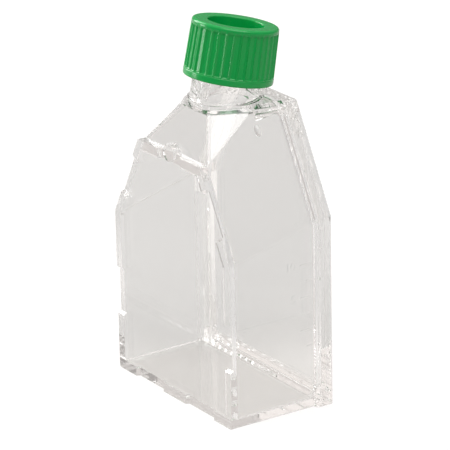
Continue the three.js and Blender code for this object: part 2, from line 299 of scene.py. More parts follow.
# A lathed shape; its outline starts and ends on the axis, or closes on itself
def lathed(name, outline, columns):
    bm = bmesh.new()
    onAxis = outline[0][0] == 0
    rows = []
    for radius, height in outline:
        if radius == 0:
            rows.append([bm.verts.new((0, 0, height))] * columns)
            continue
        angles = (2 * math.pi * i / columns for i in range(columns))
        rows.append(
            [bm.verts.new((radius * math.cos(a), radius * math.sin(a), height)) for a in angles]
        )
    pairs = list(zip(rows, rows[1:])) + ([] if onAxis else [(rows[-1], rows[0])])
    for lower, upper in pairs:
        for i in range(columns):
            k = (i + 1) % columns
            corners = dict.fromkeys((lower[i], lower[k], upper[k], upper[i]))
            bm.faces.new(tuple(corners))
    return makeObject(name, bm)


def arcOf(centreRadius, centreHeight, radius, fromAngle, toAngle, steps=6):
    angles = [fromAngle + (toAngle - fromAngle) * i / steps for i in range(steps + 1)]
    return [(centreRadius + radius * math.cos(a), centreHeight + radius * math.sin(a)) for a in angles]


def boxBetween(name, low, high):
    low, high = Vector(low), Vector(high)
    bm = bmesh.new()
    bmesh.ops.create_cube(bm, size=1)
    size = Matrix.Diagonal((high - low).to_4d())
    size[3][3] = 1
    bm.transform(Matrix.Translation((low + high) / 2) @ size)
    return makeObject(name, bm)


def discOf(name, radius, height, matrix, columns=48):
    outline = [(0, -height), (radius, -height), (radius, height), (0, height)]
    return place(lathed(name, outline, columns), matrix)


def turnedTo(direction, centre):
    turn = Vector((0, 0, 1)).rotation_difference(direction).to_matrix().to_4x4()
    return Matrix.Translation(centre) @ turn


# Nodes

# A socket is fed a plain value, another socket, or a node, which stands for its first output
def feed(tree, node, inputs):
    for label, value in inputs.items():
        if isinstance(value, bpy.types.Node):
            value = value.outputs[0]
        if isinstance(value, bpy.types.NodeSocket):
            tree.links.new(value, node.inputs[label])
        else:
            node.inputs[label].default_value = value
    return node


def addNode(tree, kind, inputs=None, **settings):
    node = tree.nodes.new(kind)
    for name, value in settings.items():
        setattr(node, name, value)
    return feed(tree, node, inputs or {})


def mathNode(tree, operation, *values, clamp=False):
    return addNode(tree, "ShaderNodeMath", dict(enumerate(values)), operation=operation, use_clamp=clamp)


def vectorOf(tree, x=0.0, y=0.0, z=0.0):
    return addNode(tree, "ShaderNodeCombineXYZ", {"X": x, "Y": y, "Z": z})


# A group's input takes its kind from the value that it starts with
socketKinds = {float: "NodeSocketFloat", int: "NodeSocketInt", tuple: "NodeSocketVector"}


def addInputs(tree, inputs):
    for label, value in inputs.items():
        socket = tree.interface.new_socket(label, in_out="INPUT", socket_type=socketKinds[type(value)])
        socket.default_value = value


# Geometry Nodes

def geometryTree(name, inputs):
    tree = bpy.data.node_groups.new(name, "GeometryNodeTree")
    tree.interface.new_socket("Geometry", in_out="INPUT", socket_type="NodeSocketGeometry")
    addInputs(tree, inputs)
    tree.interface.new_socket("Material", in_out="INPUT", socket_type="NodeSocketMaterial")
    tree.interface.new_socket("Geometry", in_out="OUTPUT", socket_type="NodeSocketGeometry")
    return tree, tree.nodes.new("NodeGroupInput").outputs


def closeTree(tree, geometry, material):
    realized = addNode(tree, "GeometryNodeRealizeInstances", {"Geometry": geometry})
    painted = addNode(tree, "GeometryNodeSetMaterial", {"Geometry": realized, "Material": material})
    addNode(tree, "NodeGroupOutput", {"Geometry": painted})
    return tree


def grow(thing, tree, values, material):
    made = thing.modifiers.new(tree.name, "NODES")
    made.node_group = tree
    sockets = {item.name: item.identifier for item in tree.interface.items_tree if item.in_out == "INPUT"}
    for label, value in (values | {"Material": material}).items():
        made[sockets[label]] = value
    return settleModifiers(thing)


def emptyObject(name):
    return makeObject(name, bmesh.new())


# A round rod along a curve, as thick at each point as its radius
def rodAlong(tree, curve, radius, section):
    thick = addNode(tree, "GeometryNodeSetCurveRadius", {"Curve": curve, "Radius": radius})
    sweep = {"Curve": thick, "Profile Curve": section, "Fill Caps": True}
    return addNode(tree, "GeometryNodeCurveToMesh", sweep)


def circleOf(tree, columns):
    return addNode(tree, "GeometryNodeCurvePrimitiveCircle", {"Resolution": columns, "Radius": 1.0})


# Helical ridges: each starts and runs out in a taper
def threadTree():
    tree, given = geometryTree(
        "thread",
        {
            "Turns": 1.0,
            "Lead": 9.0,
            "Radius": 8.0,
            "Foot": 1.0,
            "Start Angle": 0.0,
            "Starts": 2,
            "Ridge Height": 0.5,
            "Ridge Width": 0.7,
            "Run Out": 0.1,
            "Least Swell": 0.02,
            "Columns Per Turn": 72,
            "Section Columns": 16,
        },
    )
    calc = functools.partial(mathNode, tree)
    spiral = addNode(
        tree,
        "GeometryNodeCurveSpiral",
        {
            "Resolution": given["Columns Per Turn"],
            "Rotations": given["Turns"],
            "Start Radius": given["Radius"],
            "End Radius": given["Radius"],
            "Height": calc("MULTIPLY", given["Turns"], given["Lead"]),
        },
    )
    upright = addNode(tree, "GeometryNodeSetCurveNormal", {"Curve": spiral}, mode="Z_UP")
    along = addNode(tree, "GeometryNodeSplineParameter").outputs["Factor"]
    fromEnd = calc("MINIMUM", along, calc("SUBTRACT", 1.0, along))
    rise = calc("DIVIDE", fromEnd, given["Run Out"], clamp=True)
    swell = calc("MAXIMUM", calc("SINE", calc("MULTIPLY", rise, quarterTurn)), given["Least Swell"])
    size = vectorOf(tree, given["Ridge Height"], given["Ridge Width"], 1.0)
    circle = circleOf(tree, given["Section Columns"])
    section = addNode(tree, "GeometryNodeTransform", {"Geometry": circle, "Scale": size})
    ridge = rodAlong(tree, upright, swell, section)

    lift = vectorOf(tree, z=given["Foot"])
    spots = addNode(tree, "GeometryNodePoints", {"Count": given["Starts"], "Position": lift})
    index = addNode(tree, "GeometryNodeInputIndex")
    share = calc("DIVIDE", calc("MULTIPLY", index, 2 * math.pi), given["Starts"])
    turn = vectorOf(tree, z=calc("ADD", share, given["Start Angle"]))
    ridges = addNode(
        tree, "GeometryNodeInstanceOnPoints", {"Points": spots, "Instance": ridge, "Rotation": turn}
    )
    return closeTree(tree, ridges, given["Material"])


# Wide grooves pressed into a lathed skirt, so that narrow ribs stand between them
def ribTree():
    tree, given = geometryTree(
        "ribs",
        {
            "Ribs": 36,
            "Depth": 0.4,
            "Crest": 0.1,
            "Flank": 0.6,
            "Foot": 2.0,
            "Head": 12.0,
            "Fade": 0.4,
            "Least Radius": 9.8,
        },
    )
    calc = functools.partial(mathNode, tree)
    position = addNode(tree, "GeometryNodeInputPosition")
    x, y, z = addNode(tree, "ShaderNodeSeparateXYZ", {0: position}).outputs
    radius = calc("SQRT", calc("ADD", calc("MULTIPLY", x, x), calc("MULTIPLY", y, y)))
    turn = calc("MULTIPLY", calc("ARCTAN2", y, x), given["Ribs"])
    awayFromRib = calc("ABSOLUTE", calc("COSINE", calc("DIVIDE", turn, 2.0)))
    flank = calc("DIVIDE", calc("SUBTRACT", awayFromRib, given["Crest"]), given["Flank"], clamp=True)
    hollow = calc("SINE", calc("MULTIPLY", flank, quarterTurn))
    rise = calc("DIVIDE", calc("SUBTRACT", z, given["Foot"]), given["Fade"], clamp=True)
    fall = calc("DIVIDE", calc("SUBTRACT", given["Head"], z), given["Fade"], clamp=True)
    ends = calc("SINE", calc("MULTIPLY", calc("MINIMUM", rise, fall), quarterTurn))
    groove = calc("MULTIPLY", hollow, given["Depth"])
    inward = calc("DIVIDE", calc("MULTIPLY", groove, ends), radius)
    offset = [calc("MULTIPLY", calc("MULTIPLY", part, inward), -1.0) for part in (x, y)]
    pressed = addNode(
        tree,
        "GeometryNodeSetPosition",
        {
            "Geometry": given["Geometry"],
            "Selection": calc("GREATER_THAN", radius, given["Least Radius"]),
            "Offset": vectorOf(tree, *offset),
        },
    )
    return closeTree(tree, pressed, given["Material"])


# Raised graduation lines up a wall, every second one longer
def tickTree():
    tree, given = geometryTree(
        "graduations",
        {
            "Count": 10,
            "First": (0, 0, 0),
            "Spacing": 4.0,
            "Length": 3.0,
            "Long Share": 1.5,
            "Line Width": 0.3,
            "Thickness": 0.3,
        },
    )
    calc = functools.partial(mathNode, tree)
    step = vectorOf(tree, z=given["Spacing"])
    line = {"Count": given["Count"], "Start Location": given["First"], "Offset": step}
    row = addNode(tree, "GeometryNodeMeshLine", line)
    size = vectorOf(tree, given["Thickness"], given["Length"], given["Line Width"])
    bar = addNode(tree, "GeometryNodeMeshCube", {"Size": size})
    back = vectorOf(tree, y=calc("DIVIDE", given["Length"], -2.0))
    shifted = addNode(tree, "GeometryNodeTransform", {"Geometry": bar, "Translation": back})
    odd = calc("MODULO", addNode(tree, "GeometryNodeInputIndex"), 2.0)
    extra = calc("MULTIPLY", odd, calc("SUBTRACT", given["Long Share"], 1.0))
    stretch = vectorOf(tree, 1.0, calc("ADD", extra, 1.0), 1.0)
    ticks = addNode(
        tree, "GeometryNodeInstanceOnPoints", {"Points": row, "Instance": shifted, "Scale": stretch}
    )
    return closeTree(tree, ticks, given["Material"])


# A thin bead of uneven thickness along a path, as plastic squeezed out of a weld leaves it
def flashTree():
    tree, given = geometryTree(
        "weld flash",
        {
            "Spacing": 0.4,
            "Least Radius": 0.05,
            "Most Radius": 0.2,
            "Noise Scale": 1.0,
            "Noise Low": 0.35,
            "Noise High": 0.65,
            "Seed": 0.0,
            "Section Columns": 8,
        },
    )
    path = addNode(tree, "GeometryNodeMeshToCurve", {"Mesh": given["Geometry"]})
    spaced = {"Curve": path, "Length": given["Spacing"]}
    even = addNode(tree, "GeometryNodeResampleCurve", spaced, mode="LENGTH")
    position = addNode(tree, "GeometryNodeInputPosition")
    pattern = {"Vector": position, "W": given["Seed"], "Scale": given["Noise Scale"]}
    noise = addNode(tree, "ShaderNodeTexNoise", pattern, noise_dimensions="4D")
    thickness = addNode(
        tree,
        "ShaderNodeMapRange",
        {
            "Value": noise.outputs["Fac"],
            "From Min": given["Noise Low"],
            "From Max": given["Noise High"],
            "To Min": given["Least Radius"],
            "To Max": given["Most Radius"],
        },
    )
    bead = rodAlong(tree, even, thickness, circleOf(tree, given["Section Columns"]))
    return closeTree(tree, bead, given["Material"])


# Materials

# Slow waviness and fine grain that a mould leaves on plastic
def mouldedGroup():
    tree = bpy.data.node_groups.new("moulded", "ShaderNodeTree")
    addInputs(
        tree,
        {
            "Wave Scale": 60.0,
            "Wave Height": 0.1,
            "Grain Scale": 2000.0,
            "Grain Height": 0.05,
            "Roughness": 0.1,
            "Roughness Spread": 0.05,
        },
    )
    tree.interface.new_socket("Roughness", in_out="OUTPUT", socket_type="NodeSocketFloat")
    tree.interface.new_socket("Normal", in_out="OUTPUT", socket_type="NodeSocketVector")
    given = tree.nodes.new("NodeGroupInput").outputs
    calc = functools.partial(mathNode, tree)
    spot = addNode(tree, "ShaderNodeTexCoord").outputs["Object"]

    def noise(scale, detail):
        pattern = {"Vector": spot, "Scale": scale, "Detail": detail}
        return addNode(tree, "ShaderNodeTexNoise", pattern).outputs["Fac"]

    wave = noise(given["Wave Scale"], 1.0)
    grain = noise(given["Grain Scale"], 2.0)
    waves = calc("MULTIPLY", wave, given["Wave Height"])
    grains = calc("MULTIPLY", grain, given["Grain Height"])
    relief = {"Distance": mm, "Height": calc("ADD", waves, grains)}
    bump = addNode(tree, "ShaderNodeBump", relief)
    spread = calc("MULTIPLY", calc("SUBTRACT", grain, 0.5), given["Roughness Spread"])
    roughness = calc("ADD", given["Roughness"], spread, clamp=True)
    addNode(tree, "NodeGroupOutput", {"Roughness": roughness, "Normal": bump})
    return tree


moulded = mouldedGroup()


def newMaterial(name, plastic):
    material = bpy.data.materials.new(name)
    material.use_nodes = True
    tree = material.node_tree
    group = addNode(tree, "ShaderNodeGroup", plastic["surface"], node_tree=moulded)
    varied = {label: group.outputs[label] for label in ("Roughness", "Normal")}
    feed(tree, tree.nodes["Principled BSDF"], plastic["shader"] | varied)
    return material


polystyrene = {
    "shadow": (0.93, 0.93, 0.925, 1),
    "shader": {"Base Color": (0.982, 0.98, 0.976, 1), "IOR": 1.59, "Transmission Weight": 1.0},
    "surface": {
        "Wave Scale": 45.0,
        "Wave Height": 0.006,
        "Grain Scale": 900.0,
        "Grain Height": 0.00005,
        "Roughness": 0.004,
        "Roughness Spread": 0.002,
    },
}


# Shadow rays and diffuse light pass the clear plastic unbent, a little dimmed
def clearPlastic(name):
    material = newMaterial(name, polystyrene)
    tree = material.node_tree
    glass = tree.nodes["Principled BSDF"]
    through = addNode(tree, "ShaderNodeBsdfTransparent", {"Color": polystyrene["shadow"]})
    path = addNode(tree, "ShaderNodeLightPath").outputs
    soft = mathNode(tree, "MAXIMUM", path["Is Shadow Ray"], path["Is Diffuse Ray"])
    mix = addNode(tree, "ShaderNodeMixShader", {"Fac": soft, 1: glass, 2: through})
    feed(tree, tree.nodes["Material Output"], {"Surface": mix})
    return material


polyethylene = {
    "shader": {
        "Base Color": (0.001, 0.33, 0.06, 1),
        "IOR": 1.52,
        "Specular IOR Level": 0.42,
        "Subsurface Weight": 0.12,
        "Subsurface Radius": (0.2, 1.0, 0.35),
        "Subsurface Scale": 0.6 * mm,
    },
    "surface": {
        "Wave Scale": 120.0,
        "Wave Height": 0.02,
        "Grain Scale": 2600.0,
        "Grain Height": 0.012,
        "Roughness": 0.2,
        "Roughness Spread": 0.1,
    },
}

clearMaterial = clearPlastic("clear polystyrene")
greenMaterial = newMaterial("green polyethylene", polyethylene)
print("materials made")

# The flask's outline, shared by its three clear mouldings

flask = {
    "creaseHeight": 41.5,
    "creaseHeightBack": 48.8,
    "plateHeight": 63.1,
    "plateTopWidth": 27.0,
    "endWallHeight": 73.2,
    "crownHeight": 1.1,
    "crownDraft": math.radians(27),
    "rampTopWidth": 11.1,
    "rampTopDepth": 6.6,
    "facetTopDepth": 2.9,
    "sideDraft": 0.25,
    "wall": 1.3,
    "baseWall": 1.8,
    "roofWall": 2.3,
    "edgeRadius": 0.6,
    "cavityRadius": 0.8,
    "cavityRadiusBack": 3.4,
    "lidThickness": 1.3,
    "lapInset": 0.5,
    "lapInsetBase": 1.0,
    "lapRadius": 0.15,
    "lapGap": 0.15,
    "seamGap": 0.08,
    "skirtLedge": 1.0,
    "sharpEdge": 0.12,
    "sharpAngle": 30,
    "weld": 0.02,
}
farAway = 200

plateLow, plateHigh = boxOf("growth_plate")
lidLow, lidHigh = boxOf("lid")
halfWidth = plateHigh.x
footFace, seam = plateLow.y, plateHigh.y
skirtEdge, backFace = lidLow.y, lidHigh.y

inTheMiddle = Vector((0, 0, flask["plateHeight"] / 2))
plateCrease = Vector((halfWidth, seam, flask["creaseHeight"]))
plateCorner = Vector((flask["plateTopWidth"] / 2, seam, flask["plateHeight"]))
backCrease = Vector((halfWidth, backFace, flask["creaseHeightBack"]))
rampCorner = Vector((flask["rampTopWidth"] / 2, -flask["rampTopDepth"], flask["endWallHeight"]))

baseFace = face((0, 0, -1), (0, 0, 0))
endFace = face((0, 0, 1), (0, 0, flask["endWallHeight"]))
crownTop = flask["endWallHeight"] + flask["crownHeight"]
crownFace = face((0, 0, 1), (0, 0, crownTop))
lidSeat = backFace - flask["lidThickness"]
seamFront = skirtEdge - flask["seamGap"]
farFront = face((0, -1, 0), (0, -farAway, 0))
farBack = face((0, 1, 0), (0, farAway, 0))


def mirrored(point, side):
    return Vector((side * point.x, point.y, point.z))


def sideFace(side):
    foot = Vector((halfWidth, seam, 0))
    back = Vector((halfWidth + flask["sideDraft"], backFace, 0))
    return faceThrough(*(mirrored(point, side) for point in (foot, plateCrease, back)), inTheMiddle)


def shoulderFace(side):
    corners = (plateCrease, plateCorner, backCrease)
    return faceThrough(*(mirrored(point, side) for point in corners), inTheMiddle)


def shoulderTop(side, depth):
    return meet(shoulderFace(side), endFace, face((0, 1, 0), (0, depth, 0)))


def cornerFace(side):
    top = shoulderTop(side, flask["facetTopDepth"])
    return faceThrough(mirrored(plateCorner, side), mirrored(rampCorner, side), top, inTheMiddle)


rampFace = faceThrough(plateCorner, mirrored(plateCorner, -1), rampCorner, inTheMiddle)
wallFaces = [make(side) for side in sides for make in (sideFace, shoulderFace)]
frontFaces = [rampFace] + [cornerFace(side) for side in sides]


def bodyHull(name, top, inset, insetBase, radius, back=farBack):
    faces = movedIn(wallFaces + frontFaces + [top], inset) + movedIn([baseFace], insetBase)
    return roundedHull(name, faces + [farFront, back], radius)


# The neck's own frame: its axis is Z, and its foot is where it leaves the end wall

capJoint = next(joint for joint in frame["joints"] if joint["name"] == "cap_unscrew")
neckAxis = Vector(capJoint["axis"]).normalized()
neckFoot = Vector(capJoint["pos_m"]) / mm
neckTilt = Matrix.Rotation(-math.atan2(neckAxis.y, neckAxis.z), 4, "X")
neckFrame = Matrix.Translation(neckFoot) @ neckTilt

neck = {
    "radius": 8.55,
    "wall": 1.05,
    "rootWall": 2.2,
    "taperHeight": 8.0,
    "height": 17.3,
    "fillet": 1.1,
    "filletLeast": 0.3,
    "filletSteps": 7,
    "lipSteps": 12,
    "columns": 144,
    "threads": (
        {"Turns": 0.9, "Lead": 8.0, "Foot": 6.3, "Start Angle": math.radians(60), "Run Out": 0.03},
        {"Turns": 0.09, "Lead": 24.0, "Foot": 2.9, "Start Angle": math.radians(30), "Run Out": 0.3},
        {"Turns": 0.09, "Lead": 45.0, "Foot": 0.9, "Start Angle": math.radians(-78), "Run Out": 0.3},
    ),
    "ridge": {
        "Radius": 8.5,
        "Starts": 1,
        "Ridge Height": 0.6,
        "Ridge Width": 0.6,
        "Least Swell": 0.02,
        "Columns Per Turn": 72,
        "Section Columns": 16,
    },
}
neckBore = neck["radius"] - neck["wall"]
rootBore = neck["radius"] - neck["rootWall"]


def neckTube():
    lip = neck["wall"] / 2
    root = -2 * flask["wall"]
    outline = [(rootBore, 0), (rootBore, root), (neck["radius"], root)]
    outline += arcOf(neck["radius"] - lip, neck["height"] - lip, lip, 0, math.pi, neck["lipSteps"])
    outline.append((neckBore, neck["taperHeight"]))
    return place(lathed("neck", outline, neck["columns"]), neckFrame)


# Helical ridges that the cap's thread runs on, and the short steep ones that stop it
def neckThreads():
    tree = threadTree()
    for thread in neck["threads"]:
        yield place(grow(emptyObject("thread"), tree, thread | neck["ridge"], clearMaterial), neckFrame)


# The fillet at the neck's foot, widest at its two sides and trimmed to the crown
def neckRoot():
    buried = crownTop - flask["wall"] / 2
    shares = [k / neck["filletSteps"] for k in range(neck["filletSteps"] + 1)]
    loops = []
    for i in range(neck["columns"]):
        angle = 2 * math.pi * i / neck["columns"]
        outward = Vector((math.cos(angle), math.sin(angle), 0))
        start = neckFrame @ (outward * neck["radius"])
        root = start + neckAxis * ((crownTop - start.z) / neckAxis.z)
        reach = neck["filletLeast"] + (neck["fillet"] - neck["filletLeast"]) * math.cos(angle) ** 2
        high, toe = root + neckAxis * neck["fillet"], root + outward * reach
        curve = [high.lerp(root, share).lerp(root.lerp(toe, share), share) for share in shares]
        inner = root - outward * neck["wall"] / 2
        loops.append(
            curve
            + [Vector((toe.x, toe.y, buried)), Vector((inner.x, inner.y, buried))]
            + [Vector((inner.x, inner.y, high.z))]
        )
    above = face((0, 0, 1), (0, 0, crownTop + neck["height"]))
    return combine(ringOf("neck root", loops), roundedHull("trim", crownSides() + [above], 0), "INTERSECT")


# The crown's sides, above the ramp, the corner facets and the flanges, and its bottom
# A draft leans the sides above the ramp and the facets back
def crownSides(draft=0):
    foot = flask["endWallHeight"]
    inside = Vector((0, neckFoot.y, foot))
    faces = [
        leaned(face((0, -1, 0), rampCorner), foot, draft),
        face((0, 1, 0), (0, seamFront, 0)),
        face((0, 0, -1), (0, 0, foot - flask["wall"])),
    ]
    for side in sides:
        front = mirrored(rampCorner, side)
        back = shoulderTop(side, flask["facetTopDepth"])
        below = Vector((front.x, front.y, 0))
        corner = faceThrough(front, back, below, inside)
        faces += [leaned(corner, foot, draft), face((side, 0, 0), back)]
    return faces


# Flask body

body = {
    "flangeWidth": 1.5,
    "flangeHeight": 2.4,
    "flangeHeightBack": 1.3,
    "padLength": 3.0,
    "padWidth": 1.8,
    "padHeight": 0.6,
    "padDistance": 5.2,
    "padColumns": 32,
    "padRows": 20,
    "flash": {
        "Spacing": 0.5,
        "Least Radius": 0.06,
        "Most Radius": 0.22,
        "Noise Scale": 0.9,
        "Noise Low": 0.35,
        "Noise High": 0.65,
        "Seed": 3.0,
        "Section Columns": 8,
    },
    "graduations": {
        "Count": 6,
        "Spacing": 4.2,
        "Length": 3.4,
        "Long Share": 1.5,
        "Line Width": 0.28,
    },
    "graduationRise": 0.1,
    "graduationFoot": 16.5,
    "graduationBack": 11.0,
    "numeralSize": 3.0,
    "numeralPlace": 4.6,
    "numeralCurveSteps": 3,
    "numerals": {"5": 29.1, "10": 37.5},
}


# A flange that squares off the end wall
# Its top slopes down from the crown, and its underside rises towards the lid
def endFlange(side):
    front = shoulderTop(side, flask["facetTopDepth"])
    back = shoulderTop(side, seamFront)
    out = Vector((side * body["flangeWidth"], 0, 0))
    inside = Vector((0, (front.y + back.y) / 2, flask["endWallHeight"]))

    def raised(point, rise):
        return point + Vector((0, 0, rise))

    topFront, topBack = (raised(corner, flask["crownHeight"]) for corner in (front, back))
    underFront, underBack = raised(front, -body["flangeHeight"]), raised(back, -body["flangeHeightBack"])
    underOut = raised(front + out, -body["flangeHeight"])
    faces = [
        crownFace,
        faceThrough(topFront, topBack, front + out, inside),
        faceThrough(underFront, underBack, underOut, inside),
        faceThrough(front + out, back + out, underOut, inside),
        face((0, -1, 0), front),
        face((0, 1, 0), back),
        face((-side, 0, 0), (side * flask["rampTopWidth"] / 2, 0, 0)),
    ]
    return roundedHull("flange", faces, 0)


# A domed mark that an ejector pin leaves on the shoulder
def ejectorPad(side):
    normal = shoulderFace(side)[0]
    downhill = (Vector((0, 1, 0)).cross(normal) * side).normalized()
    across = normal.cross(downhill)
    centre = shoulderTop(side, flask["facetTopDepth"]) + downhill * body["padDistance"]
    bm = bmesh.new()
    bmesh.ops.create_uvsphere(bm, u_segments=body["padColumns"], v_segments=body["padRows"], radius=1)
    turn = Matrix((downhill, across, normal)).transposed().to_4x4()
    size = Matrix.Diagonal((body["padLength"] / 2, body["padWidth"] / 2, body["padHeight"], 1))
    bm.transform(Matrix.Translation(centre) @ turn @ size)
    return makeObject("pad", bm)


# Plastic squeezed out all along the seam between the body and the lid
def weldFlash():
    seamFace = face((0, 1, 0), (0, (seamFront + skirtEdge) / 2, 0))
    sunk = body["flash"]["Most Radius"] / 2
    bm = bmesh.new()
    for side in sides:
        faces = movedIn([baseFace, sideFace(side), shoulderFace(side), endFace], sunk)
        points = [bm.verts.new(meet(*pair, seamFace)) for pair in itertools.pairwise(faces)]
        for pair in itertools.pairwise(points):
            bm.edges.new(pair)
    return grow(makeObject("weld flash", bm), flashTree(), body["flash"], clearMaterial)


def graduationLines():
    lowest = (halfWidth + flask["sideDraft"], body["graduationBack"], body["graduationFoot"])
    values = body["graduations"] | {"Thickness": 2 * body["graduationRise"], "First": lowest}
    return grow(emptyObject("graduations"), tickTree(), values, clearMaterial)


def numeral(text, height):
    curve = bpy.data.curves.new("numeral", "FONT")
    curve.body = text
    curve.size = body["numeralSize"]
    curve.extrude = body["graduationRise"]
    curve.resolution_u = body["numeralCurveSteps"]
    curve.align_x = "RIGHT"
    curve.align_y = "CENTER"
    written = bpy.data.objects.new("numeral", curve)
    stage.objects.link(written)
    bm = opened(evaluatedMesh(written))
    bpy.data.objects.remove(written)
    bmesh.ops.remove_doubles(bm, verts=bm.verts, dist=tolerance["point"])
    upright = Matrix.Rotation(quarterTurn, 4, "Z") @ Matrix.Rotation(quarterTurn, 4, "X")
    spot = (halfWidth + flask["sideDraft"] / 2, body["numeralPlace"], height)
    bm.transform(Matrix.Translation(spot) @ upright)
    return makeObject("numeral", bm)


# Growth plate, with its stacking feet and its gate tab

plate = {
    "footHeight": 0.9,
    "footWidth": 2.5,
    "footGap": 11.3,
    "footGapTop": 8.8,
    "footChamfer": 0.6,
    "lowerFootLength": 15.0,
    "shoulderFootLength": 7.1,
    "footCornerRadius": 0.9,
    "baseFootLength": 11.0,
    "gateRadius": 2.2,
}
plateFace = footFace + plate["footHeight"]


def plateFaces():
    faces = [baseFace, face((0, 0, 1), plateCorner)]
    for side in sides:
        crease, corner = mirrored(plateCrease, side), mirrored(plateCorner, side)
        behind = Vector((corner.x, farAway, corner.z))
        faces += [face((side, 0, 0), crease), faceThrough(crease, corner, behind, inTheMiddle)]
    return faces


def plateHull(name, inset, radius):
    return roundedHull(name, movedIn(plateFaces(), inset) + [farFront, farBack], radius)


# Cuts one gap between the feet, with chamfered ends, across the plate's edge
def gapCutter(length, x, z, angle):
    half, rise, slope = length / 2, plate["footHeight"], plate["footChamfer"]
    wide = half + slope
    outline = [(-half, 0), (half, 0), (wide, -rise), (wide, -2 * rise), (-wide, -2 * rise), (-wide, -rise)]
    bm = bmesh.new()
    reach = 2 * plate["footWidth"]
    ends = [[bm.verts.new((u, v, end)) for u, v in outline] for end in (-reach, reach)]
    bm.faces.new(ends[0])
    bm.faces.new(reversed(ends[1]))
    for i in range(len(outline)):
        k = (i + 1) % len(outline)
        bm.faces.new((ends[0][i], ends[1][i], ends[1][k], ends[0][k]))
    bm.transform(Matrix.Translation((x, plateFace, z)) @ Matrix.Rotation(-angle, 4, "Y"))
    return makeObject("gap", bm)


def footGaps():
    slant = plateCorner - plateCrease
    along = (plate["shoulderFootLength"] + plate["footGap"] / 2) / slant.length
    slantGap = plateCrease + slant * along
    angle = math.atan2(slant.z, slant.x)
    baseGap = (plate["baseFootLength"] + plate["footGap"]) / 2
    sideGap = plate["lowerFootLength"] + plate["footGap"] / 2
    yield gapCutter(plate["footGapTop"], 0, flask["plateHeight"], 0)
    for side in sides:
        yield gapCutter(plate["footGap"], side * baseGap, 0, 0)
        yield gapCutter(plate["footGap"], side * halfWidth, sideGap, quarterTurn)
        yield gapCutter(plate["footGap"], side * slantGap.x, slantGap.z, side * angle)


def growthPlate():
    feet = keptBetween(plateHull("feet", 0, flask["edgeRadius"]), footFace, plateFace + flask["weld"])
    cut(feet, plateHull("inside", plate["footWidth"], plate["footCornerRadius"]), *footGaps())
    panel = keptBetween(plateHull("panel", 0, flask["edgeRadius"]), plateFace, seam)
    gateMiddle = Vector((0, (footFace + seam) / 2, flask["plateHeight"]))
    gate = discOf("gate", plate["gateRadius"], (seam - footFace) / 2, turnedTo((0, 1, 0), gateMiddle))
    return joined(panel, feet, gate)


# Lid, a shallow tray lapped over the back of the body

lid = {
    "edgeRadius": 0.3,
    "notchLength": 5.0,
    "notchDepth": 1.0,
    "notchDrop": 1.5,
}


def skirtNotch(side):
    ledge = flask["skirtLedge"]
    crease = meet(*movedIn([sideFace(side), shoulderFace(side)], -ledge), face((0, 1, 0), (0, skirtEdge, 0)))
    top = crease.z - lid["notchDrop"]
    low = (crease.x - 2 * ledge, skirtEdge - lid["notchDepth"], top - lid["notchLength"])
    high = (crease.x + 2 * ledge, skirtEdge + lid["notchDepth"], top)
    return boxBetween("notch", low, high)


def backLid():
    faces = movedIn(wallFaces + [endFace], -flask["skirtLedge"])
    faces += [baseFace, farFront, face((0, 1, 0), (0, backFace, 0))]
    tray = keptBetween(roundedHull("tray", faces, lid["edgeRadius"]), skirtEdge, farAway)
    inset = flask["lapInset"] - flask["lapGap"]
    insetBase = flask["lapInsetBase"] - flask["lapGap"]
    pocket = bodyHull("pocket", endFace, inset, insetBase, flask["lapRadius"] + flask["lapGap"])
    keptBetween(pocket, footFace, lidSeat)
    reliefRadius = neck["radius"] + neck["filletLeast"] + flask["lapGap"]
    lift = Matrix.Translation((0, 0, 3 * flask["wall"]))
    relief = discOf("relief", reliefRadius, 4 * flask["wall"], neckFrame @ lift, neck["columns"])
    return cut(tray, pocket, relief, *(skirtNotch(side) for side in sides))


# The hollow: small corners all round, and large ones where the walls run into the lid
def cavityHull():
    roof = face((0, 0, 1), (0, 0, crownTop - flask["roofWall"] + flask["wall"]))
    walls = (roof, flask["wall"], flask["baseWall"])
    lidInside = face((0, 1, 0), (0, lidSeat, 0))
    back = bodyHull("cavity", *walls, flask["cavityRadiusBack"], lidInside)
    front = bodyHull("cavity front", *walls, flask["cavityRadius"])
    keptBetween(front, footFace, lidSeat - flask["cavityRadiusBack"])
    return joined(back, front)


# The three clear mouldings are welded together, so that light passes from one into the next
def weldedFlask():
    weld = flask["weld"]
    shell = bodyHull("clear_flask", crownFace, 0, 0, flask["edgeRadius"])
    keptBetween(shell, seam - weld, seamFront)
    spigot = bodyHull("spigot", endFace, flask["lapInset"], flask["lapInsetBase"], flask["lapRadius"])
    keptBetween(spigot, 0, lidSeat + weld)
    joined(shell, spigot, roundedHull("crown", crownSides(flask["crownDraft"]) + [crownFace], 0))
    for side in sides:
        joined(shell, endFlange(side), ejectorPad(side))
    joined(shell, backLid())
    cavity = cavityHull()
    bore = discOf("bore", neckBore, 4 * flask["wall"], neckFrame, neck["columns"])
    tube = cut(joined(neckTube(), neckRoot(), *neckThreads()), copyOf(cavity))
    cut(shell, cavity, bore)
    joined(shell, tube, growthPlate(), graduationLines(), weldFlash())
    joined(shell, *(numeral(text, height) for text, height in body["numerals"].items()))
    return finishMesh(shell, flask["sharpEdge"], flask["sharpAngle"])


# Screw cap

